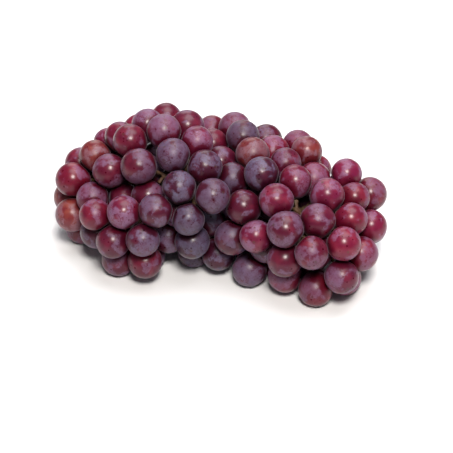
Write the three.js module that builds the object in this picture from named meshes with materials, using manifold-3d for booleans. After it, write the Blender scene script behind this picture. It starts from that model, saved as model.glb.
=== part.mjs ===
// A bunch of red table grapes that lies on a flat surface, in millimetres, +Z up.
//
// The stem is one woody piece: a cut peduncle that comes in from behind, a rachis that bends to the left
// and a wing that bends to the right. Laterals leave both, each lateral forks into three sprigs, and each
// sprig ends in a node that holds three berries on short pedicels. The three berries of a node press
// against one another, so they are one solid, a trio. Every other berry stays a hair's breadth away.
//
// The places of the berries aren't listed anywhere. They are started in a spiral round the stem and then
// settled: pushed apart where they meet, kept off the stalks and pressed into the outline of the bunch.

import * as THREE from "three";
import { ConvexGeometry } from "three/addons/geometries/ConvexGeometry.js";
import { mergeVertices } from "three/addons/utils/BufferGeometryUtils.js";
import Module from "manifold-3d";

// Outline of the bunch.
const BUNCH_LENGTH = 204;
const BUNCH_WIDTH = 124;
const BUNCH_HEIGHT = 74;
const FOOT_INSET = 12; // how much narrower the bunch is where it lies than at its shoulder
const SHOULDER_HEIGHT = 26; // the bunch widens up to here and is domed above
const PLAN_POWER = 3.4; // 2 is an ellipse from above, and more is squarer
const BACK_LEFT = 81; // how far the bunch reaches towards its back left corner, which is cut off
const DOME_POWER = 2.3;
const RIDGE_BACK = 8; // how far the ridge lies behind the middle
const PEAK_RISE = 14; // the highest berries stand this much over the ridge
const PEAK_LEFT = 42;
const PEAK_SPREAD = 34;

// Berries.
const BERRY_DIAMETER = 20.1;
const BERRY_SPREAD = 0.07; // a berry is up to this share larger or smaller
const BERRY_PRESS = 1.2; // how far the berries of a trio press into each other
const FLOOR_PRESS = 0.9; // how far a berry is flattened by what it lies on
const BERRY_FACETS = 1; // subdivisions of the icosahedron
const BERRY_SWELL = 1.04; // corners stand out this much, so that a faceted berry has a round one's volume
const BOX_SHARE = 0.35; // how much of the bunch's box the berries fill, which sets how many there are
const GAP = 0.3; // clear space between pieces

// Stem.
const SPRIGS_EACH = 3; // on a lateral
const BERRIES_EACH = 3; // on a sprig
const PEDUNCLE_RADIUS = 3.1;
const TIP_RADIUS = 1.7;
const WING_RADIUS = 2.3;
const LATERAL_RADIUS = 1.7;
const SPRIG_RADIUS = 1.35;
const PEDICEL_RADIUS = 1.05;
const SEAT_RADIUS = 1.7; // a pedicel widens to this under its berry
const KNUCKLE = 1.6; // a node is this much thicker than its stalk
const PEDICEL_SIDES = 3;
const STALK_SIDES = 4;
const AXIS_SIDES = 8;
const SOCKET = 1.2; // a node's faces are this much wider than the stalks that go into them
const SOCKET_DEPTH = 0.3;
const PEDICEL_LENGTH = 6.5;
const SPRIG_LENGTH = 15;
const STEM_HEIGHT = 33; // height of the rachis inside the bunch
const PEDUNCLE_REACH = 26; // how far the cut end stands out behind the bunch
const PEDUNCLE_HEIGHT = 13;
const PEDUNCLE_RIGHT = 16;
const END_INSET = 34; // the rachis and the wing end this far inside the bunch

// Where things start before they settle.
const START_SPREAD = 0.55; // berries of a trio, from its middle, in berry diameters
const SPRIG_SPREAD = 0.8; // sprigs of a lateral, from its middle, in sprig lengths
const END_LATERALS = 0.25; // the laterals in this last share of each half also point to that end
const END_LEAN = 6;
const LATERAL_SLACK = 3; // a lateral can get this much longer

// Settling.
const ROUNDS = 500;
const OUTWARD_PULL = 0.12; // how far a berry moves towards the outline in one round
const SAG = 0.1; // how far a berry under the stem drops in one round
const DEEPEST_TRIO = 8; // trios settle up to this far under the outline
const SEED = 12;

const GOLDEN_ANGLE = Math.PI * (3 - Math.sqrt(5));
const UP = new THREE.Vector3(0, 0, 1);

const wasm = await Module();
wasm.setup();

// ---- Random numbers that are the same each time ----

function seeded(seed) {
  let state = seed;
  return function next() {
    state = (state + 0x6d2b79f5) | 0;
    let mixed = Math.imul(state ^ (state >>> 15), 1 | state);
    mixed = (mixed + Math.imul(mixed ^ (mixed >>> 7), 61 | mixed)) ^ mixed;
    return ((mixed ^ (mixed >>> 14)) >>> 0) / 4294967296;
  };
}
const random = seeded(SEED);
const either = (size) => (2 * random() - 1) * size;

// ---- The outline ----

// Below 1 inside the bunch and above 1 outside it.
function outline(x, y, z) {
  const inset = FOOT_INSET * Math.max(0, 1 - z / SHOULDER_HEIGHT);
  const along = Math.abs(x) / (BUNCH_LENGTH / 2 - inset);
  const across = Math.abs(y) / (BUNCH_WIDTH / 2 - inset);
  const corner = (y - x) / Math.SQRT2 / BACK_LEFT;
  const plan = Math.max(corner, (along ** PLAN_POWER + across ** PLAN_POWER) ** (1 / PLAN_POWER));
  if (z <= SHOULDER_HEIGHT) return plan;
  const peak = PEAK_RISE * Math.exp(-(((x + PEAK_LEFT) / PEAK_SPREAD) ** 2));
  const rise = (z - SHOULDER_HEIGHT) / (BUNCH_HEIGHT + peak - SHOULDER_HEIGHT);
  const shift = RIDGE_BACK * rise;
  const leaning = Math.abs(y - shift) / (BUNCH_WIDTH / 2);
  const domed = Math.max(corner, (along ** PLAN_POWER + leaning ** PLAN_POWER) ** (1 / PLAN_POWER));
  return (domed ** DOME_POWER + rise ** DOME_POWER) ** (1 / DOME_POWER);
}

// The outward normal at a point, and about how far it is from the outline, which is less than 0 inside.
function outlineAt(point) {
  const step = 0.5;
  const { x, y, z } = point;
  const normal = new THREE.Vector3(
    outline(x + step, y, z) - outline(x - step, y, z),
    outline(x, y + step, z) - outline(x, y - step, z),
    outline(x, y, z + step) - outline(x, y, z - step),
  ).divideScalar(2 * step);
  const slope = Math.max(normal.length(), 1e-4);
  return { normal: normal.divideScalar(slope), distance: (outline(x, y, z) - 1) / slope };
}

// ---- The stem's two axes ----

const tipX = BUNCH_LENGTH / 2 - END_INSET;
const backY = BUNCH_WIDTH / 2;
const crown = new THREE.Vector3(PEDUNCLE_RIGHT, backY / 2, STEM_HEIGHT * 0.85);
const rachis = new THREE.CatmullRomCurve3([
  new THREE.Vector3(PEDUNCLE_RIGHT + 8, backY + PEDUNCLE_REACH, PEDUNCLE_HEIGHT - 1),
  new THREE.Vector3(PEDUNCLE_RIGHT + 3, backY, PEDUNCLE_HEIGHT + 6),
  crown,
  new THREE.Vector3(-8, 4, STEM_HEIGHT + 3),
  new THREE.Vector3(-tipX / 2 - 6, 0, STEM_HEIGHT + 4),
  new THREE.Vector3(-tipX, 2, STEM_HEIGHT - 4),
]);
const wing = new THREE.CatmullRomCurve3([
  crown,
  new THREE.Vector3(PEDUNCLE_RIGHT + 16, backY / 6, STEM_HEIGHT + 1),
  new THREE.Vector3(tipX - 14, -2, STEM_HEIGHT + 1),
  new THREE.Vector3(tipX, 0, STEM_HEIGHT - 4),
]);
const AXES = [
  { curve: rachis, startRadius: PEDUNCLE_RADIUS, endRadius: TIP_RADIUS, steps: 16 },
  { curve: wing, startRadius: WING_RADIUS, endRadius: TIP_RADIUS, steps: 8 },
];

// ---- Berries, nodes and stalks before they settle ----

const berries = [];
const nodes = []; // the forks of laterals and of sprigs
const stalks = []; // {from, to, radius, berry} where from and to have a place
const ties = []; // {a, b, length, stiff}: stiff ties hold a length, and slack ones only a greatest length
const trios = [];

// The point of an axis that lies nearest to x along the bunch, well inside it rather than on the peduncle.
function stationAt(x) {
  const axis = x > crown.x ? wing : rachis;
  const miss = (point) => Math.abs(point.x - x) + 0.2 * Math.abs(point.y);
  return axis.getPoints(60).reduce((best, point) => (miss(point) < miss(best) ? point : best));
}

// From a point inside the bunch, the point in a direction that is a given depth under the outline.
function underOutline(origin, direction, depth) {
  const point = origin.clone();
  for (let i = 0; i < 200 && outlineAt(point).distance < -depth; i += 1) {
    point.addScaledVector(direction, 1);
    if (point.z < depth) break;
  }
  return point;
}

// Points round an axis, evenly turned, that lean outwards from it.
function spray(centre, direction, count, spread, turn) {
  const side = new THREE.Vector3().crossVectors(direction, UP);
  if (side.length() < 0.1) side.set(1, 0, 0);
  side.normalize();
  return Array.from({ length: count }, (unused, i) => {
    const arm = side.clone().applyAxisAngle(direction, turn + (i * 2 * Math.PI) / count);
    return centre.clone().addScaledVector(arm, spread);
  });
}

function addBerry(node, place) {
  const radius = (BERRY_DIAMETER / 2) * (1 + either(BERRY_SPREAD));
  const berry = { place, radius, trio: trios.length };
  ties.push({ a: node, b: berry, length: radius + PEDICEL_LENGTH, stiff: true });
  stalks.push({ from: node, to: berry, radius: PEDICEL_RADIUS, berry });
  return berry;
}

function addTrio(fork, place, outward) {
  const node = { place: place.clone(), radius: SPRIG_RADIUS * KNUCKLE };
  nodes.push(node);
  ties.push({ a: fork, b: node, length: SPRIG_LENGTH, stiff: false });
  stalks.push({ from: fork, to: node, radius: SPRIG_RADIUS });
  const middle = place.clone().addScaledVector(outward, PEDICEL_LENGTH + BERRY_DIAMETER / 4);
  const places = spray(middle, outward, BERRIES_EACH, BERRY_DIAMETER * START_SPREAD, either(Math.PI));
  const trio = places.map((at) => addBerry(node, at));
  trio.forEach((berry, i) => {
    const next = trio[(i + 1) % trio.length];
    const length = berry.radius + next.radius - BERRY_PRESS;
    ties.push({ a: berry, b: next, length, stiff: true });
  });
  berries.push(...trio);
  trios.push({ berries: trio, node, depth: DEEPEST_TRIO * random() ** 2 });
}

const berryVolume = (Math.PI / 6) * BERRY_DIAMETER ** 3;
const boxVolume = BUNCH_LENGTH * BUNCH_WIDTH * BUNCH_HEIGHT;
const laterals = Math.round((BOX_SHARE * boxVolume) / (SPRIGS_EACH * BERRIES_EACH * berryVolume));

// Which way a lateral points: the golden angle on from the last one, and towards the end near an end.
function outwardOf(number, along) {
  const turn = number * GOLDEN_ANGLE;
  const end = Math.sign(along) * Math.max(0, Math.abs(along) - 1 + END_LATERALS) * END_LEAN;
  return new THREE.Vector3(end, Math.cos(turn), Math.sin(turn)).normalize();
}

function addLateral(number) {
  const along = (2 * number + 1) / laterals - 1; // from -1 at the left end to 1 at the right end
  const station = { place: stationAt(along * (BUNCH_LENGTH / 2 - BERRY_DIAMETER)), radius: 0 };
  const outward = outwardOf(number, along);
  const depth = BERRY_DIAMETER + PEDICEL_LENGTH + SPRIG_LENGTH / 2;
  const fork = { place: underOutline(station.place, outward, depth), radius: LATERAL_RADIUS * KNUCKLE };
  const length = station.place.distanceTo(fork.place) + LATERAL_SLACK;
  nodes.push(fork);
  stalks.push({ from: station, to: fork, radius: LATERAL_RADIUS });
  ties.push({ a: station, b: fork, length, stiff: false, fixed: true });
  const middle = fork.place.clone().addScaledVector(outward, SPRIG_LENGTH / 3);
  for (const place of spray(middle, outward, SPRIGS_EACH, SPRIG_LENGTH * SPRIG_SPREAD, number)) {
    const lean = place.clone().sub(fork.place).normalize().add(outward).normalize();
    addTrio(fork, place, lean);
  }
}

// ---- Settling ----

const axisStalks = AXES.flatMap(({ curve, startRadius, endRadius, steps }) =>
  Array.from({ length: steps }, (unused, i) => ({
    from: { place: curve.getPoint(i / steps), radius: 0 },
    to: { place: curve.getPoint((i + 1) / steps), radius: 0 },
    radius: THREE.MathUtils.lerp(startRadius, endRadius, i / steps),
  })),
);

function pullTie({ a, b, length, stiff, fixed }) {
  const between = b.place.clone().sub(a.place);
  const now = between.length() || 1e-6;
  if (!stiff && now <= length) return;
  const excess = (now - length) / now;
  if (fixed) {
    b.place.addScaledVector(between, -excess);
    return;
  }
  a.place.addScaledVector(between, excess / 2);
  b.place.addScaledVector(between, -excess / 2);
}

function pushApart(a, b) {
  const between = b.place.clone().sub(a.place);
  const wanted = a.radius + b.radius + GAP;
  const now = between.length() || 1e-6;
  if (now >= wanted) return;
  const excess = (wanted - now) / now / 2;
  a.place.addScaledVector(between, -excess);
  b.place.addScaledVector(between, excess);
}

// The point of a stalk's centreline that is nearest to a place.
function nearestOn(stalk, place, target) {
  const line = new THREE.Line3(stalk.from.place, stalk.to.place);
  return line.closestPointToPoint(place, true, target);
}

const closest = new THREE.Vector3();
function pushOffStalk(berry, stalk, give) {
  nearestOn(stalk, berry.place, closest);
  const between = berry.place.clone().sub(closest);
  const wanted = berry.radius + stalk.radius + GAP;
  const now = between.length() || 1e-6;
  if (now >= wanted) return;
  const excess = (wanted - now) / now;
  berry.place.addScaledVector(between, excess * (1 - give));
  for (const end of [stalk.from, stalk.to]) {
    if (give && end.radius) end.place.addScaledVector(between, (-excess * give) / 2);
  }
}

// Stalks pass round a trio and not between its berries.
function keepWhole(trio, stalk, give) {
  const place = new THREE.Vector3();
  for (const berry of trio.berries) place.addScaledVector(berry.place, 1 / BERRIES_EACH);
  const before = place.clone();
  pushOffStalk({ place, radius: BERRY_DIAMETER / 2 }, stalk, give);
  place.sub(before);
  for (const berry of trio.berries) berry.place.add(place);
}

function keepInside(berry, pull, sag) {
  const { normal, distance } = outlineAt(berry.place);
  const room = -distance - berry.radius;
  const free = room - trios[berry.trio].depth;
  if (room < 0) berry.place.addScaledVector(normal, room);
  else if (free > 0) berry.place.addScaledVector(normal, Math.min(free, pull));
  if (berry.place.z < STEM_HEIGHT) berry.place.z -= sag;
  berry.place.z = Math.max(berry.place.z, berry.radius - FLOOR_PRESS);
}

function settle() {
  for (let round = 0; round < ROUNDS; round += 1) {
    const calm = 1 - round / ROUNDS;
    berries.forEach((berry) => keepInside(berry, OUTWARD_PULL * calm, SAG * calm));
    berries.forEach((berry, i) => {
      for (const other of berries.slice(i + 1)) {
        if (other.trio !== berry.trio) pushApart(berry, other);
      }
      for (const stalk of stalks) {
        if (stalk.berry !== berry) pushOffStalk(berry, stalk, 0.5);
      }
      for (const stalk of axisStalks) pushOffStalk(berry, stalk, 0);
    });
    for (const trio of trios) {
      for (const stalk of stalks) {
        if (stalk.from !== trio.node && stalk.to !== trio.node) keepWhole(trio, stalk, 0.5);
      }
      for (const stalk of axisStalks) keepWhole(trio, stalk, 0);
    }
    ties.forEach(pullTie);
  }
  const trioTies = ties.filter(({ stiff }) => stiff);
  for (let round = 0; round < ROUNDS; round += 1) trioTies.forEach(pullTie);
}

// ---- Solids ----

function manifoldOf(geometry) {
  const bare = geometry.index ? geometry.clone() : geometry;
  bare.deleteAttribute("normal");
  bare.deleteAttribute("uv");
  const merged = mergeVertices(bare, 1e-4);
  return new wasm.Manifold(
    new wasm.Mesh({
      numProp: 3,
      vertProperties: new Float32Array(merged.attributes.position.array),
      triVerts: new Uint32Array(merged.index.array),
    }),
  );
}

function geometryOf(manifold) {
  const { vertProperties, triVerts } = manifold.getMesh();
  const geometry = new THREE.BufferGeometry();
  geometry.setAttribute("position", new THREE.BufferAttribute(vertProperties, 3));
  geometry.setIndex(new THREE.BufferAttribute(triVerts, 1));
  geometry.computeVertexNormals();
  return geometry;
}

// An icosphere of radius 1 that stands on one of its facets.
const facetTilt = Math.atan2(1, ((1 + Math.sqrt(5)) / 2) ** 2);
const unitBall = new THREE.IcosahedronGeometry(1, BERRY_FACETS).rotateX(facetTilt);

// What flattens a berry: what it lies on, its own seat, berries of other trios and the stalks that pass it.
function flatsOf(berry) {
  const seat = trios[berry.trio].node.place.clone().sub(berry.place).normalize();
  const flats = [
    { normal: UP.clone().negate(), distance: berry.place.z },
    { normal: seat, distance: berry.radius },
  ];
  for (const other of berries) {
    if (other.trio === berry.trio) continue;
    const normal = other.place.clone().sub(berry.place);
    const apart = normal.length();
    if (apart > (berry.radius + other.radius) * BERRY_SWELL + GAP) continue;
    const share = (apart ** 2 + berry.radius ** 2 - other.radius ** 2) / (2 * apart);
    flats.push({ normal: normal.divideScalar(apart), distance: share - GAP / 2 });
  }
  for (const stalk of [...stalks, ...axisStalks]) {
    if (stalk.berry === berry) continue;
    const normal = nearestOn(stalk, berry.place, new THREE.Vector3()).sub(berry.place);
    const apart = normal.length();
    const thick = stalk.radius * KNUCKLE;
    if (apart > berry.radius * BERRY_SWELL + thick + GAP) continue;
    flats.push({ normal: normal.divideScalar(apart), distance: apart - thick - GAP });
  }
  return flats;
}

function berrySolid(berry) {
  const flats = flatsOf(berry);
  const ball = unitBall.clone();
  const places = ball.getAttribute("position");
  const ray = new THREE.Vector3();
  for (let i = 0; i < places.count; i += 1) {
    ray.fromBufferAttribute(places, i).normalize();
    let reach = berry.radius * BERRY_SWELL;
    for (const { normal, distance } of flats) {
      const towards = ray.dot(normal);
      if (towards > 0) reach = Math.min(reach, distance / towards);
    }
    ray.multiplyScalar(reach).add(berry.place);
    places.setXYZ(i, ray.x, ray.y, ray.z);
  }
  return manifoldOf(ball);
}

// The corners of a cross-section, with its middle at a place and facing along a direction.
function ring(place, direction, radius, sides) {
  const turn = new THREE.Quaternion().setFromUnitVectors(UP, direction);
  return Array.from({ length: sides }, (unused, i) => {
    const angle = (i * 2 * Math.PI) / sides;
    const corner = new THREE.Vector3(Math.cos(angle), Math.sin(angle), 0).multiplyScalar(radius);
    return corner.applyQuaternion(turn).add(place);
  });
}

const sidesOf = (stalk) => (stalk.berry ? PEDICEL_SIDES : STALK_SIDES);
const directionOf = ({ from, to }) => to.place.clone().sub(from.place).normalize();

// Where a stalk goes into one of its ends: on a small ball round a node, or at the middle of an axis.
function footOf(stalk, end, depth) {
  const inwards = end === stalk.from ? -1 : 1;
  const offset = end.radius ? Math.sqrt(end.radius ** 2 - stalk.radius ** 2) - depth : 0;
  return end.place.clone().addScaledVector(directionOf(stalk), -inwards * offset);
}

function stalkSolid(stalk) {
  const direction = directionOf(stalk);
  const sides = sidesOf(stalk);
  const start = ring(footOf(stalk, stalk.from, SOCKET_DEPTH), direction, stalk.radius, sides);
  if (!stalk.berry) {
    return tubeSolid([start, ring(footOf(stalk, stalk.to, SOCKET_DEPTH), direction, stalk.radius, sides)]);
  }
  const seat = stalk.to.place.clone().addScaledVector(direction, -stalk.to.radius - GAP);
  return tubeSolid([start, ring(seat, direction, SEAT_RADIUS, sides)]);
}

// A node is the hull of a flat socket for each of its stalks.
function nodeSolid(node) {
  const meeting = stalks.filter(({ from, to }) => from === node || to === node);
  const sockets = meeting.flatMap((stalk) =>
    ring(footOf(stalk, node, 0), directionOf(stalk), stalk.radius * SOCKET, sidesOf(stalk)),
  );
  return manifoldOf(new ConvexGeometry(sockets));
}

// A closed tube through cross-sections that have the same number of corners.
function tubeSolid(rings) {
  const sides = rings[0].length;
  const last = (rings.length - 1) * sides;
  const index = [];
  for (let j = 0; j < sides; j += 1) {
    const next = (j + 1) % sides;
    for (let low = 0; low < last; low += sides) {
      index.push(low + j, low + next, low + sides + next, low + j, low + sides + next, low + sides + j);
    }
    if (j > 0 && j < sides - 1) index.push(0, next, j, last, last + j, last + next);
  }
  const geometry = new THREE.BufferGeometry().setFromPoints(rings.flat());
  return manifoldOf(geometry.setIndex(index));
}

// The rachis or the wing: a round stalk that gets thinner towards its tip.
function axisSolid({ curve, startRadius, endRadius, steps }) {
  return tubeSolid(
    Array.from({ length: steps + 1 }, (unused, i) => {
      const radius = THREE.MathUtils.lerp(startRadius, endRadius, i / steps);
      return ring(curve.getPoint(i / steps), curve.getTangent(i / steps), radius, AXIS_SIDES);
    }),
  );
}

function stemSolid() {
  return wasm.Manifold.union([
    ...AXES.map(axisSolid),
    ...stalks.map(stalkSolid),
    ...nodes.map(nodeSolid),
  ]);
}

// ---- The bunch ----

for (let number = 0; number < laterals; number += 1) addLateral(number);
settle();

const berrySkin = new THREE.MeshStandardMaterial({ color: 0x6e2a3f, roughness: 0.42, metalness: 0 });
const stemBark = new THREE.MeshStandardMaterial({ color: 0x7c6a35, roughness: 0.75, metalness: 0 });

const bunch = new THREE.Group();
bunch.name = "bunch_of_grapes";

function addMesh(name, solid, material) {
  const mesh = new THREE.Mesh(geometryOf(solid), material);
  mesh.name = name;
  bunch.add(mesh);
}

addMesh("stem", stemSolid(), stemBark);
trios.forEach((trio, i) => {
  const solid = wasm.Manifold.union(trio.berries.map(berrySolid));
  addMesh("trio_" + String(i + 1).padStart(2, "0"), solid, berrySkin);
});

// The origin is under the middle of the bunch, on the surface that it lies on.
const middle = new THREE.Box3().setFromObject(bunch).getCenter(new THREE.Vector3());
for (const mesh of bunch.children) mesh.geometry.translate(-middle.x, -middle.y, 0);

export default bunch;
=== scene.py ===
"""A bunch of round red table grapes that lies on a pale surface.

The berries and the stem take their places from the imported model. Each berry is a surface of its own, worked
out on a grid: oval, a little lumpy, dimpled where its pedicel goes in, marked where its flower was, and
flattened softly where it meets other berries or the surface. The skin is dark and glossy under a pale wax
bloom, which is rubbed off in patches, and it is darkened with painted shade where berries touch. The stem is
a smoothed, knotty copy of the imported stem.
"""

import logging
import math
from dataclasses import dataclass, field
from enum import Enum

import bmesh
import bpy
import numpy as np
from mathutils import Matrix, Vector


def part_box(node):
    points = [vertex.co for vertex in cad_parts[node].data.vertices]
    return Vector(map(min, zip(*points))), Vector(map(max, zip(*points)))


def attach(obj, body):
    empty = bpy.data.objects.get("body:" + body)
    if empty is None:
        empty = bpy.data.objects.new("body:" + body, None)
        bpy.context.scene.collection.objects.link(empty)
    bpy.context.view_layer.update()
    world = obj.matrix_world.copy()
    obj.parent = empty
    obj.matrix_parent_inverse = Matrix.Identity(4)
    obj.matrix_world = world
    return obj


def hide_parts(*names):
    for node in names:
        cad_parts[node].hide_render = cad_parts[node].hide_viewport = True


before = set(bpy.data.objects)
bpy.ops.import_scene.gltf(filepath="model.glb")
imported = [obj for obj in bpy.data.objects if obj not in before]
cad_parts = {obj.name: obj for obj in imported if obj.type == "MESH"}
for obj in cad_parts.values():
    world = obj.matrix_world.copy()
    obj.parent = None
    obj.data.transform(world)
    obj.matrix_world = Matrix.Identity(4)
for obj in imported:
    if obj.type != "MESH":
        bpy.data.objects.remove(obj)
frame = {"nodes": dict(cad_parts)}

log = logging.getLogger("grapes")
Array = np.ndarray
Colour = tuple[float, float, float]
Sockets = dict[str | int, object]

BODY = "root"
STEM_NODE = "stem"
MERGE_DISTANCE = 1e-6  # corners nearer than this, in metres, are one


def unit(vectors: Array) -> Array:
    """Scales vectors to length 1.

    Args:
        vectors: an array whose last axis holds x, y and z.

    Returns:
        The same directions, each of length 1.
    """
    return vectors / np.maximum(np.linalg.norm(vectors, axis=-1, keepdims=True), 1e-12)


def smooth_step(low: float, high: float, values: Array) -> Array:
    """Goes from 0 at low to 1 at high along 3t^2 - 2t^3, and stays flat outside them.

    Args:
        low: the value that gives 0.
        high: the value that gives 1.
        values: the values.

    Returns:
        The steps, in the values' shape.
    """
    t = np.clip((values - low) / (high - low), 0.0, 1.0)
    return t * t * (3.0 - 2.0 * t)


def corners_of(node: bpy.types.Object) -> Array:
    """Reads a mesh's vertices.

    Args:
        node: the object with the mesh.

    Returns:
        Rows of x, y and z, in metres.
    """
    flat = np.empty(len(node.data.vertices) * 3, np.float32)
    node.data.vertices.foreach_get("co", flat)
    return flat.reshape(-1, 3).astype(float)


def triangles_of(node: bpy.types.Object) -> Array:
    """Reads a mesh's triangles.

    Args:
        node: the object with the mesh.

    Returns:
        An array of triangle, corner and x, y, z.
    """
    node.data.calc_loop_triangles()
    index = np.empty(len(node.data.loop_triangles) * 3, np.int32)
    node.data.loop_triangles.foreach_get("vertices", index)
    return corners_of(node)[index].reshape(-1, 3, 3)


# ---------------------------------------------------------------- berries as packed


@dataclass(frozen=True)
class Berry:
    """Where a berry is and how large.

    Attributes:
        node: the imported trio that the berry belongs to.
        centre: its middle, in metres.
        radius: its radius, in metres.
        seat: the direction from its middle to its pedicel.
    """

    node: str
    centre: Array
    radius: float
    seat: Array


@dataclass
class PackedBerries:
    """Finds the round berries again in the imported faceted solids.

    Attributes:
        swell: how much further out than the berry's radius a facet's corners stand.
        long_edge: the longest edge of a facet over the radius of its corners.
        short_edge: a facet's shortest edge over its longest one, where it isn't 1.
        gap: clear space between a pedicel's seat and its berry, in metres.
        seat_radius: radius of a pedicel's seat, in metres.
        seat_corners: how many corners a seat has.
        likeness: how far a facet's shares may stray from a whole facet's.
        least_edge: the shortest longest edge of a whole facet, in metres.
        agreement: how near facets put the middle of one ball, in metres.
        apart: how far apart the middles of two balls are at least, in metres.
        joined: how many balls one solid joins.
    """

    swell: float = 1.04
    long_edge: float = 0.618034
    short_edge: float = 0.88433
    gap: float = 0.0003
    seat_radius: float = 0.0017
    seat_corners: int = 3
    likeness: float = 0.004
    least_edge: float = 0.003
    agreement: float = 0.0003
    apart: float = 0.005
    joined: int = 3

    def middles(self, triangles: Array) -> Array:
        """Works out which ball each whole facet belongs to.

        A whole facet's longest edge gives the radius of the ball that its corners lie on. The ball's middle
        is under the facet's circumcentre, by the root of the radius squared less the circumradius squared.

        Args:
            triangles: an array of triangle, corner and x, y, z.

        Returns:
            Rows of x, y, z and radius, one for each whole facet.
        """
        a, b, c = triangles[:, 0], triangles[:, 1], triangles[:, 2]
        sides = np.stack([np.linalg.norm(p - q, axis=1) for p, q in ((a, b), (b, c), (c, a))], axis=1)
        sides.sort(axis=1)
        shares = sides / np.maximum(sides[:, 2:], 1e-9)
        regular = np.abs(shares[:, :2] - 1.0).max(axis=1) < self.likeness
        narrow = np.abs(shares[:, :2] - self.short_edge).max(axis=1) < self.likeness
        whole = (regular | narrow) & (sides[:, 2] > self.least_edge)
        a, b, c, longest = a[whole], b[whole], c[whole], sides[whole, 2]
        across, along = b - a, c - a
        normal = np.cross(across, along)
        square = np.maximum((normal**2).sum(1, keepdims=True), 1e-24)
        lift = np.cross(normal, across) * (along**2).sum(1, keepdims=True)
        lift += np.cross(along, normal) * (across**2).sum(1, keepdims=True)
        offset = lift / (2.0 * square)
        radius = longest / self.long_edge
        depth = np.sqrt(np.maximum(radius**2 - (offset**2).sum(1), 0.0))
        middle = a + offset - unit(normal) * depth[:, None]
        return np.column_stack([middle, radius])

    def balls(self, triangles: Array) -> list[Array]:
        """Picks the balls that most facets agree on.

        Args:
            triangles: the trio's triangles.

        Returns:
            Rows of x, y, z and radius of the balls.
        """
        votes = self.middles(triangles)
        found: list[Array] = []
        while len(found) < self.joined and len(votes):
            distances = np.linalg.norm(votes[:, None, :3] - votes[None, :, :3], axis=2)
            near = distances < self.agreement
            best = near[near.sum(1).argmax()]
            found.append(np.median(votes[best], axis=0))
            votes = votes[np.linalg.norm(votes[:, :3] - found[-1][:3], axis=1) > self.apart]
        return found

    def seat_of(self, centre: Array, radius: float, stem: Array) -> Array:
        """Finds the pedicel's seat, whose corners stand at one known distance from the berry's middle.

        Args:
            centre: the berry's middle.
            radius: its radius, in metres.
            stem: the stem's corners.

        Returns:
            The direction from the middle to the seat.
        """
        away = stem - centre
        wanted = math.hypot(radius + self.gap, self.seat_radius)
        misses = np.abs(np.linalg.norm(away, axis=1) - wanted)
        return unit(away[np.argsort(misses)[: self.seat_corners]].mean(axis=0))

    def read(self, nodes: dict[str, bpy.types.Object]) -> list[Berry]:
        """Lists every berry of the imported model, trio by trio.

        Args:
            nodes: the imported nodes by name.

        Returns:
            The berries.
        """
        stem = np.unique(corners_of(nodes[STEM_NODE]).round(7), axis=0)
        berries = []
        for name in sorted(nodes):
            if name == STEM_NODE:
                continue
            for ball in self.balls(triangles_of(nodes[name])):
                radius = float(ball[3]) / self.swell
                berries.append(Berry(name, ball[:3], radius, self.seat_of(ball[:3], radius, stem)))
        return berries


# ---------------------------------------------------------------- colours of the skin


@dataclass(frozen=True)
class SkinTone:
    """How ripe skin looks.

    Attributes:
        skin: colour of the bare skin.
        glow: colour of the flesh that shines through where the skin is thin.
        wax: colour of the wax on it.
        cover: how much of the berry the wax covers, from 0 to 1.
    """

    skin: Colour
    glow: Colour
    wax: Colour
    cover: float


class Ripeness(Enum):
    """The tones that ripening gives the berries of one bunch."""

    CRIMSON = SkinTone((0.108, 0.0010, 0.0110), (0.190, 0.0110, 0.0230), (0.158, 0.052, 0.104), 0.60)
    ROSE = SkinTone((0.122, 0.0022, 0.0260), (0.200, 0.0190, 0.0450), (0.186, 0.073, 0.140), 0.74)
    PLUM = SkinTone((0.052, 0.0009, 0.0105), (0.108, 0.0066, 0.0230), (0.120, 0.058, 0.109), 0.80)
    INK = SkinTone((0.024, 0.0008, 0.0085), (0.056, 0.0040, 0.0150), (0.080, 0.065, 0.114), 0.92)
    BLUSH = SkinTone((0.170, 0.0040, 0.0270), (0.290, 0.0420, 0.0500), (0.205, 0.062, 0.116), 0.46)
    AMBER = SkinTone((0.110, 0.0085, 0.0125), (0.195, 0.0400, 0.0230), (0.175, 0.078, 0.100), 0.66)


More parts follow.
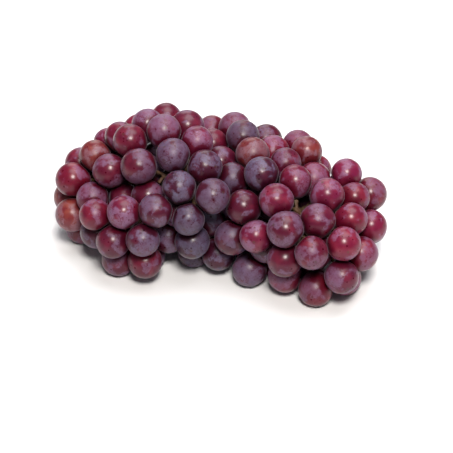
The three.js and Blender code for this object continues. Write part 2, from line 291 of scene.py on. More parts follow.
@dataclass
class Ripening:
    """Says how ripe a berry is from where it grows in the bunch.

    Attributes:
        middle: middle of the heap, in metres.
        reach: half the heap's length, depth and height, in metres.
        amber_share: how many berries anywhere stay amber.
        whim: how far a berry strays from its neighbours' tone.
        seed: where the random numbers start.
        rng: the random numbers.
    """

    middle: Array
    reach: Array
    amber_share: float = 0.012
    whim: float = 0.45
    seed: int = 725
    rng: np.random.Generator = field(init=False)

    def __post_init__(self) -> None:
        """Starts the random numbers."""
        self.rng = np.random.default_rng(self.seed)

    def odds(self, centre: Array) -> dict[Ripeness, float]:
        """Weighs each tone: inky amid, rosy on top, crimson right, blushing behind, amber far left.

        Args:
            centre: the berry's middle.

        Returns:
            A weight for each tone.
        """
        x, y, z = (centre - self.middle) / self.reach
        inner = math.exp(-((x / 0.45) ** 2)) * (1.0 - 0.6 * max(0.0, y)) * (1.0 - 0.5 * max(0.0, z))
        late = self.rng.random() < self.amber_share + 1.2 * max(0.0, -x - 0.66)
        return {
            Ripeness.CRIMSON: 0.50 + 0.55 * max(0.0, x) + 0.50 * max(0.0, y) + 0.35 * max(0.0, -x - 0.3),
            Ripeness.ROSE: 0.35 + 0.60 * max(0.0, z) + 0.35 * max(0.0, x),
            Ripeness.PLUM: 0.70,
            Ripeness.INK: 0.08 + 1.70 * inner,
            Ripeness.BLUSH: 0.10 + 1.5 * max(0.0, y - 0.15) * max(0.0, 0.5 + 0.5 * z),
            Ripeness.AMBER: 5.0 if late else 0.05,
        }

    def tone(self, centre: Array) -> SkinTone:
        """Works out a berry's tone.

        Each named tone counts by the square of its odds times the exponential of a random number.

        Args:
            centre: the berry's middle.

        Returns:
            The tones' weighted mean, lighter or darker from berry to berry.
        """
        odds = self.odds(centre)
        weights = (np.array(list(odds.values())) * np.exp(self.rng.normal(0.0, self.whim, len(odds)))) ** 2
        weights /= weights.sum()
        depth = self.rng.uniform(0.8, 1.2)

        def mean(name: str) -> Array:
            """Averages one property of all tones."""
            return weights @ np.array([getattr(tone.value, name) for tone in odds])

        cover = float(np.clip(mean("cover") + self.rng.normal(0.0, 0.09), 0.2, 0.95))
        skin, glow, wax = (tuple(mean(name) * depth) for name in ("skin", "glow", "wax"))
        return SkinTone(skin, glow, wax, cover)


# ---------------------------------------------------------------- the berries' shape


@dataclass
class BerryForm:
    """The surface of a berry, over an angle from its pedicel and an angle round it.

    Attributes:
        rings: steps from the pedicel to the flower's mark.
        spokes: steps round the berry.
        oval: how much longer than wide it is, as a share of its radius.
        lumps: height of its unevenness, as a share of its radius.
        dimple: depth of the hollow at its pedicel, in metres.
        dimple_width: width of that hollow, in metres.
        mark: radius of the flower's mark, in metres.
        pit: depth of that mark, in metres.
        lip: height of the ring round it, in metres.
        waves: how many waves its unevenness adds up.
        pace: the least and the greatest steepness of those waves.
        touch: how near two berries count as pressing on each other, in metres.
        crease: how softly a flattened side begins, in metres.
        clear: space left between berries that meet, in metres.
    """

    rings: int = 28
    spokes: int = 48
    oval: float = 0.03
    lumps: float = 0.008
    dimple: float = 0.0006
    dimple_width: float = 0.0022
    mark: float = 0.00055
    pit: float = 0.00016
    lip: float = 0.00008
    waves: int = 5
    pace: tuple[float, float] = (1.2, 3.2)
    touch: float = 0.001
    crease: float = 0.0011
    clear: float = 0.00004

    def directions(self, seat: Array) -> tuple[Array, Array]:
        """Points in all directions from a berry's middle.

        A direction is cos(turn) times the seat's direction plus sin(turn) times a direction round it. The
        first and the last row are the two poles.

        Args:
            seat: direction of the pedicel.

        Returns:
            The directions as ring, spoke and x, y, z, and each ring's angle from the seat.
        """
        turn = np.linspace(0.0, math.pi, self.rings + 1)
        spin = np.arange(self.spokes) * (2.0 * math.pi / self.spokes)
        side = unit(np.cross(seat, (0.0, 0.0, 1.0) if abs(seat[2]) < 0.9 else (1.0, 0.0, 0.0)))
        other = np.cross(seat, side)
        around = np.cos(spin)[:, None] * side + np.sin(spin)[:, None] * other
        rays = np.cos(turn)[:, None, None] * seat + np.sin(turn)[:, None, None] * around[None]
        return rays, turn

    def unevenness(self, rays: Array, rng: np.random.Generator) -> Array:
        """Adds up gentle sine waves that run across the berry in random directions.

        Args:
            rays: directions from its middle.
            rng: random numbers for the waves.

        Returns:
            The unevenness along each ray, as a share of the radius.
        """
        waves = unit(rng.normal(size=(self.waves, 3))) * rng.uniform(*self.pace, (self.waves, 1))
        phases = rng.uniform(0.0, 2.0 * math.pi, self.waves)
        return np.sin(rays @ waves.T + phases).sum(axis=-1) * (self.lumps / self.waves)

    def reach(self, berry: Berry, rays: Array, turn: Array, rng: np.random.Generator) -> Array:
        """Distance from the middle to the surface along each ray, before anything presses on the berry.

        It is the radius times 1 + oval (cos^2 - 1/3) + waves, less a bell-shaped hollow at the pedicel and
        less a small bell-shaped pit with a raised lip at the flower's mark.

        Args:
            berry: the berry.
            rays: directions from its middle.
            turn: each ring's angle from the pedicel.
            rng: random numbers for the waves.

        Returns:
            The distance for each ring and spoke, in metres.
        """
        long = 1.0 + self.oval * rng.uniform(0.2, 1.0) * (np.cos(turn) ** 2 - 1.0 / 3.0)
        from_seat = berry.radius * turn
        from_mark = berry.radius * (math.pi - turn)
        hollow = self.dimple * np.exp(-((from_seat / self.dimple_width) ** 2))
        pit = self.pit * np.exp(-((from_mark / self.mark) ** 2))
        lip = self.lip * np.exp(-(((from_mark - 2.0 * self.mark) / self.mark) ** 2))
        waves = self.unevenness(rays, rng)
        return berry.radius * (long[:, None] + waves) - (hollow + pit - lip)[:, None]

    def pressed(self, berry: Berry, others: list[Berry], rays: Array, reach: Array) -> Array:
        """Flattens the berry against its neighbours and what it lies on.

        Each of them is a plane at some distance from the middle. A ray stops at the softened lesser of its
        own reach and its way to the plane: half of their sum less the root of their difference squared plus
        the crease squared.

        Args:
            berry: the berry.
            others: all berries.
            rays: directions from its middle.
            reach: distances along them.

        Returns:
            The distances, none of which goes through a plane.
        """
        planes = [(np.array([0.0, 0.0, -1.0]), float(berry.centre[2]))]
        for other in others:
            apart = other.centre - berry.centre
            length = float(np.linalg.norm(apart))
            if 1e-6 < length < berry.radius + other.radius + self.touch:
                share = (length**2 + berry.radius**2 - other.radius**2) / (2.0 * length)
                planes.append((apart / length, share - self.clear))
        for normal, distance in planes:
            towards = np.maximum(rays @ normal, 1e-3)
            stop = distance / towards
            soft = 0.5 * (reach + stop - np.sqrt((reach - stop) ** 2 + self.crease**2))
            reach = np.where(stop < 3.0 * berry.radius, np.minimum(soft, stop), reach)
        return reach

    def mesh(self, name: str, points: Array) -> bpy.types.Mesh:
        """Joins a grid of points, whose first and last ring are poles, into a closed mesh.

        Args:
            name: name of the mesh.
            points: ring, spoke and x, y, z.

        Returns:
            The mesh, with smooth faces that point outwards.
        """
        rings, spokes = points.shape[0] - 1, points.shape[1]
        body = points[1:-1].reshape(-1, 3)
        vertices = np.vstack([points[0, :1], body, points[-1, :1]])
        spoke = np.arange(spokes)
        following = (spoke + 1) % spokes
        low = 1 + np.arange(rings - 2)[:, None] * spokes
        high = low + spokes
        quads = np.stack([low + spoke, high + spoke, high + following, low + following], axis=-1)
        end = len(vertices) - 1
        first = np.stack([np.zeros(spokes, int), 1 + spoke, 1 + following], axis=1)
        last_ring = end - spokes
        last = np.stack([np.full(spokes, end), last_ring + following, last_ring + spoke], axis=1)
        mesh = bpy.data.meshes.new(name)
        faces = quads.reshape(-1, 4).tolist() + first.tolist() + last.tolist()
        mesh.from_pydata(vertices.tolist(), [], faces)
        mesh.polygons.foreach_set("use_smooth", np.ones(len(mesh.polygons), bool))
        return mesh


@dataclass
class Bunch:
    """All the berries of the bunch.

    Attributes:
        berries: where they are.
        ripening: what gives each its tone.
        form: what gives each its shape.
        touch_reach: how far from a touching berry the wax is rubbed thin and the skin is darkened with
            painted crease shade, in metres.
        outwards: how much facing out of the heap exposes a side.
        off_seat: how much facing away from the pedicel does.
        handled: the side of the heap that is handled most.
        seat_stain: where the stain round the pedicel starts to fade and ends, in metres.
        seed: where the random numbers for the shapes start.
    """

    berries: list[Berry]
    ripening: Ripening
    form: BerryForm = field(default_factory=BerryForm)
    touch_reach: float = 0.0055
    outwards: float = 0.8
    off_seat: float = 0.6
    handled: tuple[float, float, float] = (0.0, -0.15, 0.45)
    seat_stain: tuple[float, float] = (0.0012, 0.0040)
    seed: int = 3

    def dress(self, mesh: bpy.types.Mesh, tone: SkinTone, grid: dict[str, Array]) -> None:
        """Stores the tone and the masks that the skin's material reads on a berry's vertices.

        Args:
            mesh: the berry's mesh.
            tone: its tone.
            grid: masks by name, as ring and spoke.
        """
        count = len(mesh.vertices)
        colours = {"skin_colour": tone.skin, "glow_colour": tone.glow, "wax_colour": tone.wax}
        for name, colour in colours.items():
            layer = mesh.attributes.new(name, "FLOAT_COLOR", "POINT")
            layer.data.foreach_set("color", np.tile([*colour, 1.0], count).astype(np.float32))
        masks = {"wax_cover": np.full(count, tone.cover)}
        for name, values in grid.items():
            masks[name] = np.concatenate([values[0, :1], values[1:-1].ravel(), values[-1, :1]])
        for name, values in masks.items():
            mesh.attributes.new(name, "FLOAT", "POINT").data.foreach_set("value", values.astype(np.float32))

    def rubbing(self, berry: Berry, rays: Array) -> Array:
        """How much each side is rubbed: most where it faces out of the heap and upwards.

        Args:
            berry: the berry.
            rays: directions from its middle.

        Returns:
            The rubbing along each ray, from 0 to 1.
        """
        away = (berry.centre - self.ripening.middle) / self.ripening.reach
        out = unit(self.outwards * unit(away) - self.off_seat * berry.seat + np.array(self.handled))
        return smooth_step(-0.2, 1.0, rays @ out)

    def nearness(self, berry: Berry, points: Array) -> Array:
        """How close each point is to another berry: 1 where they touch, 0 from the given reach on. The skin
        uses it to thin the wax and to paint crease shade.

        Args:
            berry: the berry.
            points: points of its surface, as ring, spoke and x, y, z.

        Returns:
            The nearness of each point.
        """
        gap = np.full(points.shape[:2], self.touch_reach)
        for other in self.berries:
            apart = float(np.linalg.norm(other.centre - berry.centre))
            if 1e-6 < apart < berry.radius + other.radius + self.touch_reach:
                gap = np.minimum(gap, np.linalg.norm(points - other.centre, axis=-1) - other.radius)
        return 1.0 - smooth_step(0.0, self.touch_reach, gap)

    def build(self, skin: bpy.types.Material) -> list[bpy.types.Object]:
        """Makes every berry.

        Args:
            skin: the skin's material.

        Returns:
            One object for each berry.
        """
        rng = np.random.default_rng(self.seed)
        pieces = []
        for number, berry in enumerate(self.berries, start=1):
            rays, turn = self.form.directions(berry.seat)
            reach = self.form.reach(berry, rays, turn, rng)
            reach = self.form.pressed(berry, self.berries, rays, reach)
            points = berry.centre + rays * reach[..., None]
            name = f"berry_{number:03d}"
            mesh = self.form.mesh(name, points)
            from_mark = np.repeat((berry.radius * (math.pi - turn))[:, None], rays.shape[1], axis=1)
            from_seat = np.repeat((berry.radius * turn)[:, None], rays.shape[1], axis=1)
            masks = {
                "rubbing": self.rubbing(berry, rays),
                "touching": self.nearness(berry, points),
                "flower_mark": 1.0 - smooth_step(0.5 * self.form.mark, 1.6 * self.form.mark, from_mark),
                "seat_mark": 1.0 - smooth_step(*self.seat_stain, from_seat),
            }
            self.dress(mesh, self.ripening.tone(berry.centre), masks)
            mesh.materials.append(skin)
            piece = bpy.data.objects.new(name, mesh)
            bpy.context.scene.collection.objects.link(piece)
            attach(piece, BODY)
            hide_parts(berry.node)
            pieces.append(piece)
        return pieces


# ---------------------------------------------------------------- the stem


@dataclass
class Stem:
    """The peduncle, rachis, laterals, sprigs and pedicels as one smoothed woody piece.

    Attributes:
        voxel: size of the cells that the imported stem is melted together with, in metres.
        smoothing: how many times the surface is relaxed.
        relaxing: how far each time, as a share of the way.
        swelling: how much thickness is given back after that, in metres.
        gnarl: height of its unevenness, in metres.
        cut_depth: how far the cut end's pale wood shows, in metres.
    """

    voxel: float = 0.00052
    smoothing: int = 4
    relaxing: float = 0.5
    swelling: float = 0.00012
    gnarl: float = 0.00016
    cut_depth: float = 0.0007

    def melted(self, source: bpy.types.Object) -> bpy.types.Object:
        """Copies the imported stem, merges its loose corners and melts it into one even skin.

        Args:
            source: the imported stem.

        Returns:
            The melted copy.
        """
        shape = bmesh.new()
        shape.from_mesh(source.data)
        bmesh.ops.remove_doubles(shape, verts=shape.verts, dist=MERGE_DISTANCE)
        mesh = bpy.data.meshes.new("stem_wood")
        shape.to_mesh(mesh)
        shape.free()
        piece = bpy.data.objects.new("stem_wood", mesh)
        bpy.context.scene.collection.objects.link(piece)
        melt = piece.modifiers.new("melt", "REMESH")
        melt.mode = "VOXEL"
        melt.voxel_size = self.voxel
        melt.use_smooth_shade = True
        relax = piece.modifiers.new("relax", "SMOOTH")
        relax.factor = self.relaxing
        relax.iterations = self.smoothing
        bpy.context.view_layer.update()
        made = bpy.data.meshes.new_from_object(piece.evaluated_get(bpy.context.evaluated_depsgraph_get()))
        piece.modifiers.clear()
        piece.data = made
        made.name = "stem_wood"
        return piece

    def gnarled(self, piece: bpy.types.Object, tip: float) -> None:
        """Moves each vertex along its normal by crossed sine waves, and marks the cut end.

        The move is the swelling plus the gnarl times a sum: the product of two sines with periods near 4 mm,
        and 0.6 of a third with a period near 2 mm. The cut face doesn't move.

        Args:
            piece: the melted stem.
            tip: how far back the cut end lies, in metres.
        """
        mesh = piece.data
        places = corners_of(piece)
        normals = np.empty(len(mesh.vertices) * 3, np.float32)
        mesh.vertices.foreach_get("normal", normals)
        normals = normals.reshape(-1, 3).astype(float)
        waves = np.sin(places @ (1300.0, 420.0, 900.0)) * np.sin(places @ (-500.0, 1500.0, 700.0))
        waves += 0.6 * np.sin(places @ (2600.0, -900.0, 2100.0) + 1.3)
        deep = smooth_step(0.4 * self.cut_depth, self.cut_depth, tip - places[:, 1])
        cut = (1.0 - deep) * (normals[:, 1] > 0.5)
        move = (self.swelling + self.gnarl * waves) * (1.0 - cut)
        places += normals * move[:, None]
        mesh.vertices.foreach_set("co", places.astype(np.float32).ravel())
        mesh.attributes.new("cut_end", "FLOAT", "POINT").data.foreach_set("value", cut.astype(np.float32))
        mesh.update()

    def build(self, source: bpy.types.Object, bark: bpy.types.Material) -> bpy.types.Object:
        """Makes the stem.

        Args:
            source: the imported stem.
            bark: its material.

        Returns:
            The finished piece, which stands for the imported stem.
        """
        piece = self.melted(source)
        self.gnarled(piece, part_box(STEM_NODE)[1].y)
        piece.data.polygons.foreach_set("use_smooth", np.ones(len(piece.data.polygons), bool))
        piece.data.materials.clear()
        piece.data.materials.append(bark)
        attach(piece, BODY)
        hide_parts(STEM_NODE)
        return piece


# ---------------------------------------------------------------- materials


class NodeSheet:
    """A node tree with short ways to add nodes and lines between them."""

    def __init__(self, tree: bpy.types.NodeTree) -> None:
        """Keeps the tree and empties it."""
        self.tree = tree
        self.tree.nodes.clear()

    def add(self, kind: str, inputs: Sockets | None = None, **settings: object) -> bpy.types.Node:
        """Adds a node.

        Args:
            kind: the node's type.
            inputs: what goes into its sockets: another node's output, or a value.
            settings: its other properties.

        Returns:
            The node.
        """
        node = self.tree.nodes.new(kind)
        for name, value in settings.items():
            setattr(node, name, value)
        for name, value in (inputs or {}).items():
            if isinstance(value, bpy.types.NodeSocket):
                self.tree.links.new(value, node.inputs[name])
            else:
                node.inputs[name].default_value = value
        return node

    def sum(self, kind: str, a: object, b: object = 0.0) -> bpy.types.NodeSocket:
        """Does one sum, such as ADD or MULTIPLY, and gives its result."""
        return self.add("ShaderNodeMath", {0: a, 1: b}, operation=kind).outputs[0]

    def ramp(self, value: bpy.types.NodeSocket, low: float, high: float) -> bpy.types.NodeSocket:
        """Goes smoothly from 0 at low to 1 at high."""
        sockets = {"Value": value, "From Min": low, "From Max": high}
        return self.add("ShaderNodeMapRange", sockets, interpolation_type="SMOOTHSTEP").outputs["Result"]

    def blend(self, share: object, first: object, second: object, mode: str = "MIX") -> bpy.types.NodeSocket:
        """Blends two colours, or multiplies them.

        Args:
            share: how much of the second, from 0 to 1.
            first: the first colour.
            second: the second colour.
            mode: MIX or MULTIPLY.

        Returns:
            The blended colour.
        """
        node = self.add("ShaderNodeMix", data_type="RGBA", blend_type=mode)
        sockets = (node.inputs[0], node.inputs[6], node.inputs[7])
        for socket, value in zip(sockets, (share, first, second)):
            if isinstance(value, bpy.types.NodeSocket):
                self.tree.links.new(value, socket)
            else:
                socket.default_value = value
        return node.outputs[2]

    def noise(
        self, place: bpy.types.NodeSocket, scale: float, detail: float, rough: float = 0.5
    ) -> bpy.types.NodeSocket:
        """Adds a noise pattern with so many cells a metre."""
        sockets = {"Vector": place, "Scale": scale, "Detail": detail, "Roughness": rough}
        return self.add("ShaderNodeTexNoise", sockets).outputs["Fac"]

    def place_group(self, tree: bpy.types.NodeTree, inputs: dict[str, object]) -> bpy.types.Node:
        """Puts a node group in, with its own values."""
        return self.add("ShaderNodeGroup", inputs, node_tree=tree)

    def attribute(self, name: str, output: str = "Fac") -> bpy.types.NodeSocket:
        """Reads a value or a colour that is stored on the vertices."""
        return self.add("ShaderNodeAttribute", attribute_name=name).outputs[output]


def new_group(
    name: str, inputs: dict[str, tuple[str, object]], outputs: dict[str, str]
) -> tuple[NodeSheet, bpy.types.Node, bpy.types.Node]:
    """Starts a node group with named sockets.

    Args:
        name: the group's name.
        inputs: each input's socket type and default.
        outputs: each output's socket type.

    Returns:
        Its sheet, its input node and its output node.
    """
    tree = bpy.data.node_groups.new(name, "ShaderNodeTree")
    for label, (kind, default) in inputs.items():
        socket = tree.interface.new_socket(label, in_out="INPUT", socket_type=kind)
        if default is not None:
            socket.default_value = default
    for label, kind in outputs.items():
        tree.interface.new_socket(label, in_out="OUTPUT", socket_type=kind)
    sheet = NodeSheet(tree)
    return sheet, sheet.add("NodeGroupInput"), sheet.add("NodeGroupOutput")


@dataclass(frozen=True)
class Specks:
    """Small dark dots of uneven size, shared by the skin and the bark.

    Attributes:
        name: name of the node group.
    """

    name: str = "specks"

    def group(self) -> bpy.types.NodeTree:
        """Builds the group, or finds it. Its mask is 1 in a dot and 0 outside.

        Returns:
            The node group, with inputs Place, Scale and Size and the output Mask.
        """
        if self.name in bpy.data.node_groups:
            return bpy.data.node_groups[self.name]
        inputs = {
            "Place": ("NodeSocketVector", None),
            "Scale": ("NodeSocketFloat", 400.0),
            "Size": ("NodeSocketFloat", 0.2),
        }
        sheet, given, result = new_group(self.name, inputs, {"Mask": "NodeSocketFloat"})
        where = {"Vector": given.outputs["Place"], "Scale": given.outputs["Scale"]}
        cells = sheet.add("ShaderNodeTexVoronoi", where)
        chance = sheet.add("ShaderNodeSeparateColor", {"Color": cells.outputs["Color"]})
        size = sheet.sum("MULTIPLY", chance.outputs["Red"], given.outputs["Size"])
        inner = sheet.sum("MULTIPLY", size, 0.5)
        sockets = {"Value": cells.outputs["Distance"], "From Min": inner, "From Max": size}
        sockets |= {"To Min": 1.0, "To Max": 0.0}
        dot = sheet.add("ShaderNodeMapRange", sockets, interpolation_type="SMOOTHSTEP")
        sheet.tree.links.new(dot.outputs["Result"], result.inputs["Mask"])
        return sheet.tree


@dataclass(frozen=True)
class WaxBloom:
    """The pale wax that a berry grows, in crisp patches, cloudy inside, scuffed and speckled.

    Attributes:
        name: name of the node group.
        patch_scale: patches a metre.
        cloud_scale: clouds a metre inside a patch.
        scuff_scale: scuffs a metre.
        mottle_scale: small blotches a metre.
        grain_scale: grains a metre.
        worn_scale: scuffed places a metre.
        patch_share: how much the patches count in the level.
        cloud_share: how much the clouds do.
        grain_share: how much the grains do.
        edge: the levels at which wax begins and is whole.
        haze: wax that is left everywhere.
    """

    name: str = "wax_bloom"
    patch_scale: float = 95.0
    cloud_scale: float = 300.0
    scuff_scale: float = 150.0
    mottle_scale: float = 850.0
    grain_scale: float = 2300.0
    worn_scale: float = 120.0
    patch_share: float = 1.8
    cloud_share: float = 0.5
    grain_share: float = 0.22
    edge: tuple[float, float] = (1.62, 1.74)
    haze: float = 0.06

    def group(self) -> bpy.types.NodeTree:
        """Builds the group.

        Returns:
            The node group, with inputs Place, Cover and Rubbing, and the outputs Bloom, how thick the wax
            is from 0 to 1, and Grain, its fine unevenness.
        """
        inputs = {
            "Place": ("NodeSocketVector", None),
            "Cover": ("NodeSocketFloat", 0.6),
            "Rubbing": ("NodeSocketFloat", 0.0),
        }
        outputs = {"Bloom": "NodeSocketFloat", "Grain": "NodeSocketFloat"}
        sheet, given, result = new_group(self.name, inputs, outputs)
        place = given.outputs["Place"]
        patch = sheet.noise(place, self.patch_scale, 2.0, 0.5)
        cloud = sheet.noise(place, self.cloud_scale, 3.0, 0.6)
        grain = sheet.noise(place, self.grain_scale, 2.0, 0.7)
        # Level = cover + patches + a little cloud and grain - rubbing; it becomes wax over a narrow range.
        patches = sheet.sum("MULTIPLY", patch, self.patch_share)
        level = sheet.sum("ADD", patches, sheet.sum("MULTIPLY", cloud, self.cloud_share))
        level = sheet.sum("ADD", level, given.outputs["Cover"])
        level = sheet.sum("SUBTRACT", level, given.outputs["Rubbing"])
        level = sheet.sum("ADD", level, sheet.sum("MULTIPLY", grain, self.grain_share))
        cover = sheet.ramp(level, *self.edge)
        # In a patch the wax is 0.44 thick, plus up to 0.36 for a cloud and 0.24 for a blotch.
        thin = sheet.ramp(cloud, 0.34, 0.64)
        blotch = sheet.ramp(sheet.noise(place, self.mottle_scale, 3.0, 0.6), 0.36, 0.60)
        thin = sheet.sum("ADD", sheet.sum("MULTIPLY", thin, 0.36), sheet.sum("MULTIPLY", blotch, 0.24))
        thick = sheet.sum("MULTIPLY", cover, sheet.sum("ADD", thin, 0.44))
        # Scuffs are thin lines where a warped noise crosses its middle, and only in some places.
        waves = sheet.noise(place, self.scuff_scale, 4.0, 0.62)
        line = sheet.ramp(sheet.sum("ABSOLUTE", sheet.sum("SUBTRACT", waves, 0.5)), 0.034, 0.008)
        worn = sheet.ramp(sheet.noise(place, self.worn_scale, 1.0), 0.44, 0.56)
        scuff = sheet.sum("MULTIPLY", sheet.sum("MULTIPLY", line, worn), 0.8)
        kept = sheet.sum("SUBTRACT", 1.0, scuff)
        bloom = sheet.sum("MULTIPLY", sheet.sum("MULTIPLY", thick, kept), 0.86)
        sheet.tree.links.new(sheet.sum("ADD", bloom, self.haze), result.inputs["Bloom"])
        sheet.tree.links.new(grain, result.inputs["Grain"])
        return sheet.tree


@dataclass(frozen=True)
class BerrySkin:
    """Dark translucent skin under wax, with painted shade where berries touch.

    Attributes:
        crease_shade_colour: painted shade: what the skin's colour is multiplied by where berries touch,
            standing in for the shade in the creases between them.
        mark_colour: colour of the dried flower's mark.
        speck_colour: colour of the dots.
        specks: how many large dots a metre, and their size as a share of their cell.
        fine_specks: the same for the small dots.
        rubbed: how far rubbing lowers the wax.
        pressed: how far a touching berry does.
        sheen: strength of the pale rim that the wax gives.
        bare_roughness: roughness of bare skin.
        waxed_roughness: roughness of waxed skin.
    """

    crease_shade_colour: Colour = (0.44, 0.08, 0.20)
    mark_colour: Colour = (0.050, 0.022, 0.012)
    speck_colour: Colour = (0.018, 0.003, 0.008)
    specks: tuple[float, float] = (360.0, 0.36)
    fine_specks: tuple[float, float] = (900.0, 0.38)
    rubbed: float = 0.34
    pressed: float = 0.75
    sheen: float = 0.13
    bare_roughness: float = 0.27
    waxed_roughness: float = 0.50

    def build(self) -> bpy.types.Material:
        """Builds the material.

        Returns:
            The material, which reads the tone and the masks on a berry's vertices.
        """
        material = bpy.data.materials.new("berry_skin")
        material.use_nodes = True
        sheet = NodeSheet(material.node_tree)
        place = sheet.add("ShaderNodeTexCoord").outputs["Object"]
        touching = sheet.attribute("touching")
        rubbing = sheet.sum("MULTIPLY", sheet.attribute("rubbing"), self.rubbed)
        rubbing = sheet.sum("ADD", rubbing, sheet.sum("MULTIPLY", touching, self.pressed))
        wax_in = {"Place": place, "Cover": sheet.attribute("wax_cover"), "Rubbing": rubbing}
        wax = sheet.place_group(WaxBloom().group(), wax_in)
        masks = []
        for scale, size in (self.specks, self.fine_specks):
            given = {"Place": place, "Scale": scale, "Size": size}
            masks.append(sheet.place_group(Specks().group(), given).outputs["Mask"])
        dots = sheet.sum("MAXIMUM", masks[0], sheet.sum("MULTIPLY", masks[1], 0.6))
        mottle = sheet.ramp(sheet.noise(place, 130.0, 2.0, 0.5), 0.45, 0.72)
        share = sheet.sum("MULTIPLY", mottle, 0.75)
        bare, glow = sheet.attribute("skin_colour", "Color"), sheet.attribute("glow_colour", "Color")
        colour = sheet.blend(share, bare, glow)
        clear = sheet.sum("SUBTRACT", 1.0, sheet.sum("MULTIPLY", dots, 0.9))
        bloom = sheet.sum("MULTIPLY", wax.outputs["Bloom"], clear)
        colour = sheet.blend(bloom, colour, sheet.attribute("wax_colour", "Color"))
        # Painted shade: near a touching berry the colour is multiplied towards the crease colour, standing in
        # for the shade in the creases between berries. The wax is also rubbed thin there, as wear.
        darker = sheet.blend(1.0, colour, (*self.crease_shade_colour, 1.0), "MULTIPLY")
        colour = sheet.blend(sheet.sum("MULTIPLY", touching, 0.8), colour, darker)
        colour = sheet.blend(sheet.sum("MULTIPLY", dots, 0.35), colour, (*self.speck_colour, 1.0))
        marks = sheet.sum("MAXIMUM", sheet.attribute("flower_mark"), sheet.attribute("seat_mark"))
        colour = sheet.blend(sheet.sum("MULTIPLY", marks, 0.85), colour, (*self.mark_colour, 1.0))
        spread = self.waxed_roughness - self.bare_roughness
        rough = sheet.sum("ADD", sheet.sum("MULTIPLY", bloom, spread), self.bare_roughness)
        height = sheet.sum("ADD", sheet.sum("MULTIPLY", wax.outputs["Grain"], 0.5), bloom)
        bump = sheet.add("ShaderNodeBump", {"Height": height, "Strength": 0.25, "Distance": 0.00006})
        shader = {
            "Base Color": colour,
            "Roughness": rough,
            "Normal": bump.outputs["Normal"],
            "IOR": 1.38,
            "Subsurface Weight": 0.20,
            "Subsurface Radius": (1.0, 0.18, 0.16),
            "Subsurface Scale": 0.0024,
            "Sheen Weight": self.sheen,
            "Sheen Roughness": 0.26,
            "Sheen Tint": (0.80, 0.70, 0.84, 1.0),
        }
        skin = sheet.add("ShaderNodeBsdfPrincipled", shader)
        sheet.add("ShaderNodeOutputMaterial", {"Surface": skin.outputs[0]})
        return material


@dataclass(frozen=True)
class StemBark:
    """Green-brown stalk with darker streaks and dots, and pale wood at the cut.

    Attributes:
        young: colour of fresh green stalk.
        old: colour of woody stalk.
        wood: colour of the cut.
        wood_rings: colour of the darker wood in it.
        streak: colour of the streaks.
        dot: colour of the dots.
    """

    young: Colour = (0.092, 0.062, 0.020)
    old: Colour = (0.072, 0.028, 0.013)
    wood: Colour = (0.42, 0.33, 0.17)
    wood_rings: Colour = (0.22, 0.15, 0.06)
    streak: Colour = (0.05, 0.028, 0.012)
    dot: Colour = (0.24, 0.16, 0.08)

    def build(self) -> bpy.types.Material:
        """Builds the material.

        Returns:
            The material, which reads the mask of the cut end on the stem's vertices.
        """
        material = bpy.data.materials.new("stem_bark")
        material.use_nodes = True
        sheet = NodeSheet(material.node_tree)
        place = sheet.add("ShaderNodeTexCoord").outputs["Object"]
        age = sheet.ramp(sheet.noise(place, 90.0, 4.0, 0.6), 0.38, 0.62)
        colour = sheet.blend(age, (*self.young, 1.0), (*self.old, 1.0))
        streaks = sheet.ramp(sheet.noise(place, 900.0, 3.0, 0.65), 0.35, 0.8)
        colour = sheet.blend(sheet.sum("MULTIPLY", streaks, 0.45), colour, (*self.streak, 1.0))
        dots = sheet.place_group(Specks().group(), {"Place": place, "Scale": 700.0, "Size": 0.3})
        dotted = sheet.sum("MULTIPLY", dots.outputs["Mask"], 0.6)
        colour = sheet.blend(dotted, colour, (*self.dot, 1.0))
        rings = sheet.noise(place, 1600.0, 2.0)
        wood = sheet.blend(rings, (*self.wood, 1.0), (*self.wood_rings, 1.0))
        colour = sheet.blend(sheet.attribute("cut_end"), colour, wood)
        bump = sheet.add("ShaderNodeBump", {"Height": streaks, "Strength": 0.5, "Distance": 0.00012})
        shader = {"Base Color": colour, "Roughness": 0.68, "Normal": bump.outputs["Normal"]}
        bark = sheet.add("ShaderNodeBsdfPrincipled", shader)
        sheet.add("ShaderNodeOutputMaterial", {"Surface": bark.outputs[0]})
        return material


@dataclass(frozen=True)
class Paper:
    """The plain pale sheet that everything lies on.

    Attributes:
        colour: its colour.
    """

    colour: Colour = (0.70, 0.70, 0.705)

    def build(self) -> bpy.types.Material:
        """Builds the material.

        Returns:
            The material, even and matt.
        """
        material = bpy.data.materials.new("paper")
        material.use_nodes = True
        sheet = NodeSheet(material.node_tree)
        shader = sheet.add("ShaderNodeBsdfPrincipled", {"Base Color": (*self.colour, 1.0), "Roughness": 0.9})
        sheet.add("ShaderNodeOutputMaterial", {"Surface": shader.outputs[0]})
        return material


# ---------------------------------------------------------------- the studio


@dataclass(frozen=True)
class SoftLight:
    """A square soft light that faces what the camera looks at.

    Attributes:
        name: its name.
        place: where it hangs, from the aim, in metres.
        size: its side, in metres.
        power: its power, in watts.
        colour: its colour.
    """

    name: str
    place: Vector
    size: float
    power: float
    colour: Colour


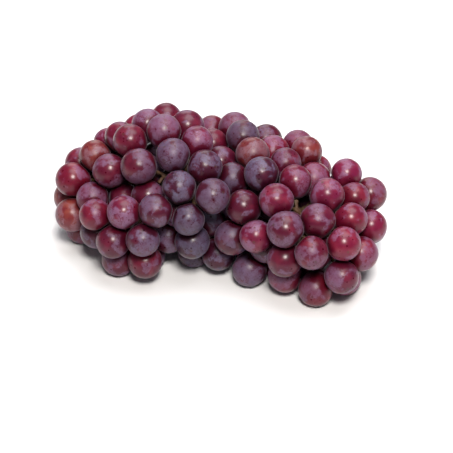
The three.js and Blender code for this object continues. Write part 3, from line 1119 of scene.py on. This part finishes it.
@dataclass
class Studio:
    """Floor, soft lights and camera.

    Attributes:
        heap: middle of the berries' box, in metres.
        turn: how far the camera stands round to the right of the front.
        tilt: how far it stands over the level.
        aim_height: height of the aimed-at level over the floor.
        forward: how far the aim lies in front of the heap's middle.
        shift_right: how far it lies to the camera's right.
        shift_up: how far it lies over it.
        distance: from the aim to the camera.
        lens: focal length in millimetres.
        film: width of the film in millimetres.
        floor_reach: half the floor's side.
        floor_squares: how many squares the floor has along a side.
        floor_drop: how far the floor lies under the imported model.
        fill: strength of the light from all round.
        right: the camera's right.
        up: its up.
        back: from the aim to it.
    """

    heap: Vector
    turn: float = math.radians(20.5)
    tilt: float = math.radians(35.7)
    aim_height: float = 0.028
    forward: float = 0.0013
    shift_right: float = 0.0049
    shift_up: float = -0.0092
    distance: float = 0.956
    lens: float = 127.2
    film: float = 36.0
    floor_reach: float = 3.0
    floor_squares: int = 6
    floor_drop: float = 0.0001
    fill: float = 0.17
    right: Vector = field(init=False)
    up: Vector = field(init=False)
    back: Vector = field(init=False)

    def __post_init__(self) -> None:
        """Works out the camera's right, its up, and the direction from the aim to it."""
        level = Vector((math.sin(self.turn), -math.cos(self.turn), 0.0))
        self.right = Vector((math.cos(self.turn), math.sin(self.turn), 0.0))
        self.back = level * math.cos(self.tilt) + Vector((0.0, 0.0, math.sin(self.tilt)))
        self.up = self.back.cross(self.right)

    def aim(self) -> Vector:
        """The point that the camera looks at."""
        base = Vector((self.heap.x, self.heap.y - self.forward, self.aim_height))
        return base + self.right * self.shift_right + self.up * self.shift_up

    def camera(self) -> bpy.types.Object:
        """Makes the camera and sets it as the scene's.

        Returns:
            The camera.
        """
        data = bpy.data.cameras.new("camera")
        data.lens = self.lens
        data.sensor_width = self.film
        data.clip_start = 0.05
        data.clip_end = 20.0
        camera = bpy.data.objects.new("camera", data)
        axes = Matrix((self.right, self.up, self.back)).transposed().to_4x4()
        camera.matrix_world = Matrix.Translation(self.aim() + self.back * self.distance) @ axes
        bpy.context.scene.collection.objects.link(camera)
        bpy.context.scene.camera = camera
        return camera

    def hang(self, light: SoftLight) -> bpy.types.Object:
        """Hangs a light.

        Args:
            light: what it is like and where it hangs.

        Returns:
            The lamp.
        """
        data = bpy.data.lights.new(light.name, "AREA")
        data.size = light.size
        data.energy = light.power
        data.color = light.colour
        lamp = bpy.data.objects.new(light.name, data)
        lamp.location = self.aim() + light.place
        lamp.rotation_euler = (-light.place).to_track_quat("-Z", "Y").to_euler()
        bpy.context.scene.collection.objects.link(lamp)
        return lamp

    def floor(self) -> bpy.types.Object:
        """Lays the floor as a flat grid of squares.

        Returns:
            The floor.
        """
        row = self.floor_squares + 1
        side = np.linspace(-self.floor_reach, self.floor_reach, row)
        x, y = np.meshgrid(side, side)
        points = np.column_stack([x.ravel(), y.ravel(), np.full(x.size, -self.floor_drop)])
        step = np.arange(self.floor_squares)
        low = (step[:, None] * row + step).ravel()
        mesh = bpy.data.meshes.new("floor")
        faces = np.stack([low, low + 1, low + row + 1, low + row], axis=1)
        mesh.from_pydata(points.tolist(), [], faces.tolist())
        mesh.materials.append(Paper().build())
        floor = bpy.data.objects.new("floor", mesh)
        bpy.context.scene.collection.objects.link(floor)
        return floor

    def sky(self) -> None:
        """Fills in from all round with an even pale light."""
        world = bpy.data.worlds.new("studio")
        world.use_nodes = True
        sheet = NodeSheet(world.node_tree)
        colour = (0.93, 0.95, 1.0, 1.0)
        light = sheet.add("ShaderNodeBackground", {"Color": colour, "Strength": self.fill})
        sheet.add("ShaderNodeOutputWorld", {"Surface": light.outputs[0]})
        bpy.context.scene.world = world

    def lights(self) -> list[SoftLight]:
        """Plans a warm small key over the camera, and two large cool lights above and behind.

        Returns:
            The lights.
        """
        key = (self.back + self.right * 0.06 + self.up * 0.34).normalized() * 1.5
        warm, cool = (1.0, 0.955, 0.90), (0.97, 0.97, 1.0)
        return [
            SoftLight("key", key, 0.34, 28.0, warm),
            SoftLight("top", Vector((0.1, 0.25, 1.5)), 1.2, 27.0, cool),
            SoftLight("rear", Vector((-0.7, 1.4, 0.9)), 1.0, 9.0, cool),
        ]

    def build(self) -> None:
        """Sets up everything round the object."""
        self.camera()
        self.floor()
        self.sky()
        for light in self.lights():
            self.hang(light)
        bpy.context.scene.view_settings.view_transform = "Standard"


def heap_box(nodes: dict[str, bpy.types.Object]) -> tuple[Vector, Vector]:
    """Finds the box round the berries alone, without the peduncle.

    Args:
        nodes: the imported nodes.

    Returns:
        Its lowest and its highest corner.
    """
    boxes = [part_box(name) for name in nodes if name != STEM_NODE]
    low = Vector(min(box[0][i] for box in boxes) for i in range(3))
    high = Vector(max(box[1][i] for box in boxes) for i in range(3))
    return low, high


def main() -> None:
    """Builds the bunch in its studio and reports what was made."""
    logging.basicConfig(level=logging.INFO, format="%(name)s: %(message)s")
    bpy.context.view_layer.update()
    nodes = frame["nodes"]
    low, high = heap_box(nodes)
    middle = (low + high) / 2.0
    Studio(heap=middle).build()
    log.info("set up the studio round %s", list(middle))
    berries = PackedBerries().read(nodes)
    log.info("found %d berries in %d trios", len(berries), len(nodes) - 1)
    ripening = Ripening(middle=np.array(middle), reach=np.array((high - low) / 2.0))
    pieces = Bunch(berries, ripening).build(BerrySkin().build())
    log.info("made %d berries, %s to %s", len(pieces), pieces[0].name, pieces[-1].name)
    stem = Stem().build(nodes[STEM_NODE], StemBark().build())
    log.info("made %s with %d faces", stem.name, len(stem.data.polygons))


if __name__ == "__main__":
    main()
